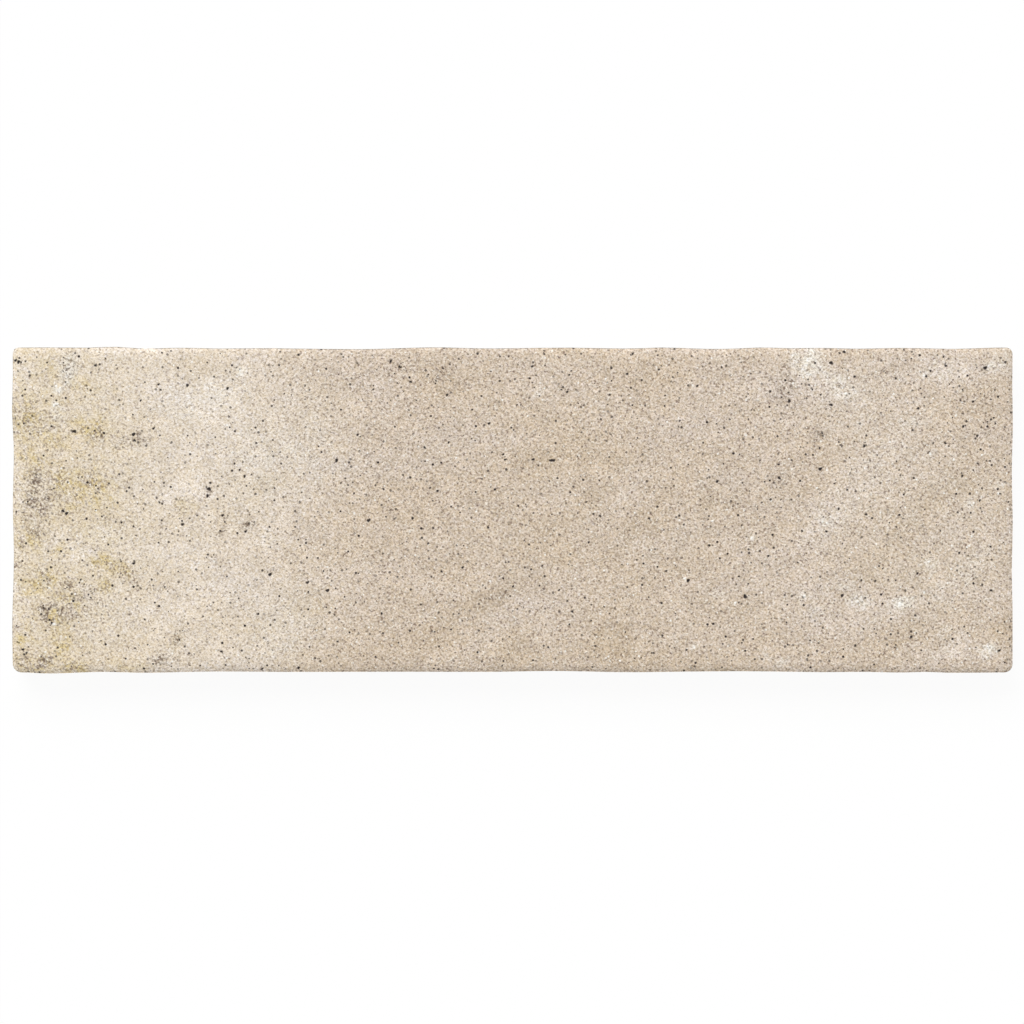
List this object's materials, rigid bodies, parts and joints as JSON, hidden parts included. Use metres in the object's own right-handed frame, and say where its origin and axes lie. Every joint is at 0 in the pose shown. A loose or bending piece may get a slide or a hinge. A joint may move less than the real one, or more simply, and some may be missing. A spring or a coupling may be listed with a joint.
{
  "type": "textured tile",
  "caption": "Oblong matte wall tile with slightly wavy edges, a soft cushioned rim, a sandy pitted cream and beige face, and a keyed back that is bedded in adhesive.",
  "frame": {"origin": "middle of the back, on the plane of the key ribs that the tile lies on", "axes": "+X along the length, +Y across the width towards the edge that is at the top of the picture, +Z out of the face"},
  "size_m": [0.2002, 0.0653, 0.0085],
  "materials": {
    "fired_clay": "matte"
  },
  "bodies": {
    "root": {"tile": "fired_clay"}
  },
  "joints": []
}
